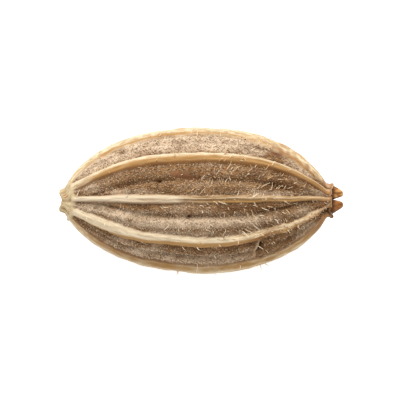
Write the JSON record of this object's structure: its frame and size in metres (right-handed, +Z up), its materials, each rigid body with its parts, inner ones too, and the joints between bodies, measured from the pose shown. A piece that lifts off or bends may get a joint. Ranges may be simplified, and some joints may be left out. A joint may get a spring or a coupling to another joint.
{
  "type": "cumin seed",
  "caption": "Plump dried cumin seed lying on its side: ribbed from end to end, felted between the ribs, with a broken stalk stump and lobes at the tip.",
  "frame": {"origin": "centre of the seed's outline at the height of the surface it lies on", "axes": "+X along the seed from the stalk stump to the lobes at the tip, +Y across it, +Z up, as it lies with one rib on top"},
  "size_m": [0.005, 0.0026, 0.0021],
  "materials": {
    "husk": "dry, matt, finely felted plant skin with smooth paler ribs"
  },
  "bodies": {
    "root": {"seed": "husk"}
  },
  "joints": []
}
